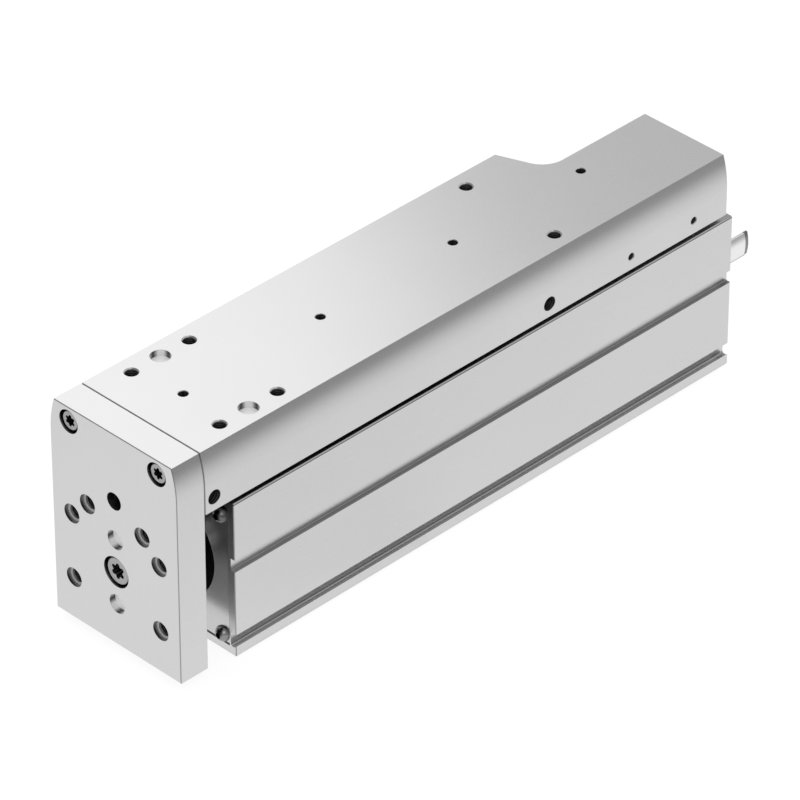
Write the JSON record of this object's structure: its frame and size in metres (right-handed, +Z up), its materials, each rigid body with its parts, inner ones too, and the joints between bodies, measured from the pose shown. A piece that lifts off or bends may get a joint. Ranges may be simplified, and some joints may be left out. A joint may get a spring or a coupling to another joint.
{
  "type": "electric mini slide",
  "caption": "Compact ball-screw mini slide: a ball-rail-guided table with a front yoke plate travels over an extruded aluminium housing with a rear motor journal.",
  "frame": {"origin": "middle of the housing's base face, under the drive axis", "axes": "+X the way the yoke plate moves out, +Y the side with the side threads, +Z up"},
  "size_m": [0.2782, 0.0576, 0.0845],
  "materials": {
    "housing_aluminium": "satin clear anodised",
    "slide_aluminium": "fine satin clear anodised",
    "plate_aluminium": "fine satin clear anodised",
    "cover_aluminium": "smooth, reflecting",
    "rear_aluminium": "turned, clear anodised",
    "inner_aluminium": "turned",
    "screw_steel": "zinc-plated, satin",
    "bright_steel": "bright plated",
    "guide_steel": "ground",
    "bearing_steel": "ground",
    "spindle_steel": "rolled and ground",
    "rod_chrome": "hard chromed, polished",
    "ball_chrome": "polished",
    "bronze": "plain",
    "black_plastic": "black, matt",
    "cap_plastic": "dark grey, matt",
    "wear_plastic": "filled, matt",
    "rubber": "black"
  },
  "bodies": {
    "housing": {"housing": "housing_aluminium", "front_cover": "cover_aluminium", "cover_screws": "bright_steel", "bearing_carrier": "black_plastic", "rod_bush": "bronze", "rod_wiper": "rubber", "front_buffer": "rubber", "carriage_screws": "screw_steel", "carriage_1_block": "guide_steel", "carriage_1_front_cap": "cap_plastic", "carriage_1_rear_cap": "cap_plastic", "carriage_1_balls": "ball_chrome", "carriage_2_block": "guide_steel", "carriage_2_front_cap": "cap_plastic", "carriage_2_rear_cap": "cap_plastic", "carriage_2_balls": "ball_chrome", "rear_buffer": "rubber", "rear_bearing_housing": "rear_aluminium", "rear_screws": "screw_steel", "bearing_1_outer": "bearing_steel", "bearing_1_balls": "ball_chrome", "bearing_2_outer": "bearing_steel", "bearing_2_balls": "ball_chrome", "bearing_retainer": "spindle_steel"},
    "slide": {"slide": "slide_aluminium", "rail": "guide_steel", "rail_screws": "screw_steel", "yoke_plate": "plate_aluminium", "plate_screws": "screw_steel", "rod_screw": "screw_steel", "push_rod": "rod_chrome", "spindle_nut": "guide_steel", "nut_screws": "screw_steel", "nut_balls": "ball_chrome", "nut_carrier": "inner_aluminium", "wear_ring": "wear_plastic"},
    "spindle": {"spindle": "spindle_steel", "lock_nut": "spindle_steel", "bearing_1_inner": "bearing_steel", "bearing_2_inner": "bearing_steel"}
  },
  "joints": [
    {"name": "slide_travel", "type": "slide", "parent": "housing", "child": "slide", "axis": [1, 0, 0], "range_m": [0, 0.1]},
    {"name": "spindle_spin", "type": "hinge", "parent": "housing", "child": "spindle", "pos_m": [0, 0, 0.031], "axis": [1, 0, 0], "range_deg": [-2834.7, 0]}
  ],
  "couplings": [
    {"joint": "spindle_spin", "follows": "slide_travel", "rad_per_m": -494.74}
  ]
}
